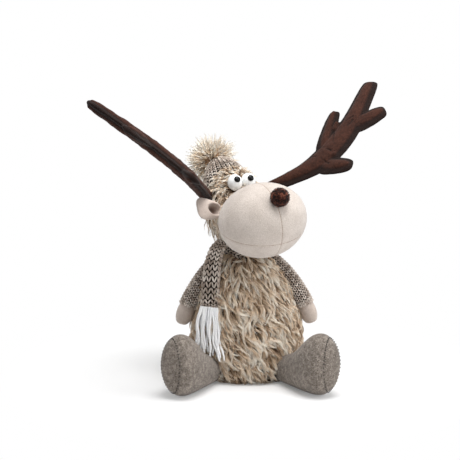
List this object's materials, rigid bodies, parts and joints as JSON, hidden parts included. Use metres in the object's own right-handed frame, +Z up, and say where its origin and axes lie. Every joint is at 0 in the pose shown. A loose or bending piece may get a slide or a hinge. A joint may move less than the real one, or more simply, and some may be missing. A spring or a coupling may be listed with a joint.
{
  "type": "plush deer",
  "caption": "Sitting plush deer with a shaggy body, big velour muzzle, bulging eyes, knitted hat with pom-pom, fringed knitted scarf, felt legs and long stuffed antlers",
  "frame": {"origin": "middle of the flat seat under the body, on the surface that the toy sits on", "axes": "+Z up, the body faces -Y, the toy's own left is +X; the head is turned to the toy's left and tipped up"},
  "size_m": [0.3037, 0.2169, 0.299],
  "materials": {
    "shaggy_fur": "long tousled pile, beige with brown roots",
    "beige_velour": "short brushed velour",
    "grey_felt": "mottled felt",
    "marled_knit": "marled stocking-stitch knit",
    "brown_velour": "short brushed velour",
    "red_brown_flock": "fuzzy short pile",
    "white_yarn": "soft spun yarn",
    "white_plastic": "smooth, slightly glossy",
    "black_plastic": "glossy",
    "washer_plastic": "plain moulded",
    "fibre_filling": "loose fibre",
    "bag_cotton": "plain weave",
    "soft_wire": "plain drawn wire"
  },
  "bodies": {
    "torso": {"body_skin": "shaggy_fur", "body_filling": "fibre_filling", "pellet_bag": "bag_cotton", "scarf_wrap": "marled_knit", "scarf_back_tail": "marled_knit", "scarf_back_fringe": "white_yarn"},
    "head": {"head_skin": "shaggy_fur", "head_filling": "fibre_filling", "muzzle_skin": "beige_velour", "muzzle_filling": "fibre_filling", "nose": "red_brown_flock", "nose_washer": "washer_plastic", "eyeball_left": "white_plastic", "eyeball_right": "white_plastic", "pupil_left": "black_plastic", "pupil_right": "black_plastic", "eye_washer_left": "washer_plastic", "eye_washer_right": "washer_plastic", "ear_left": "beige_velour", "ear_right": "beige_velour", "hat": "marled_knit", "pom_pom": "shaggy_fur"},
    "antler_left": {"antler_skin_left": "brown_velour", "antler_filling_left": "fibre_filling", "antler_wire_left": "soft_wire"},
    "antler_right": {"antler_skin_right": "brown_velour", "antler_filling_right": "fibre_filling", "antler_wire_right": "soft_wire"},
    "arm_left": {"sleeve_left": "marled_knit", "hand_left": "beige_velour", "arm_filling_left": "fibre_filling"},
    "arm_right": {"sleeve_right": "marled_knit", "hand_right": "beige_velour", "arm_filling_right": "fibre_filling"},
    "leg_left": {"leg_skin_left": "grey_felt", "leg_filling_left": "fibre_filling"},
    "leg_right": {"leg_skin_right": "grey_felt", "leg_filling_right": "fibre_filling"},
    "scarf_tail": {"scarf_front_tail": "marled_knit", "scarf_front_fringe": "white_yarn"}
  },
  "joints": [
    {"name": "head_turn", "type": "hinge", "parent": "torso", "child": "head", "pos_m": [-0.002, 0.004, 0.14], "axis": [0, 0, 1], "range_deg": [-12, 12], "stiffness_Nm_per_rad": 0.1},
    {"name": "antler_left_bend", "type": "hinge", "parent": "head", "child": "antler_left", "pos_m": [0.0092, 0.0408, 0.18638], "axis": [-0.265, 0.424, 0.866], "range_deg": [-10, 10], "stiffness_Nm_per_rad": 0.6},
    {"name": "antler_right_bend", "type": "hinge", "parent": "head", "child": "antler_right", "pos_m": [-0.03999, 0.01007, 0.18638], "axis": [-0.265, 0.424, 0.866], "range_deg": [-10, 10], "stiffness_Nm_per_rad": 0.6},
    {"name": "arm_left_raise", "type": "hinge", "parent": "torso", "child": "arm_left", "pos_m": [0.02305, 0.00289, 0.1283], "axis": [0, -1, 0], "range_deg": [0, 60]},
    {"name": "arm_right_raise", "type": "hinge", "parent": "torso", "child": "arm_right", "pos_m": [-0.02641, 0.00289, 0.1283], "axis": [0, 1, 0], "range_deg": [0, 60]},
    {"name": "leg_left_swing", "type": "hinge", "parent": "torso", "child": "leg_left", "pos_m": [0.02102, -0.00418, 0], "axis": [0.8387, 0.5446, 0], "range_deg": [0, 80]},
    {"name": "leg_right_swing", "type": "hinge", "parent": "torso", "child": "leg_right", "pos_m": [-0.02226, -0.00345, 0], "axis": [0.8829, -0.4695, 0], "range_deg": [0, 80]},
    {"name": "scarf_tail_swing", "type": "hinge", "parent": "torso", "child": "scarf_tail", "pos_m": [-0.0245, -0.011, 0.1449], "axis": [-0.866, -0.5, 0], "range_deg": [0, 45]}
  ]
}
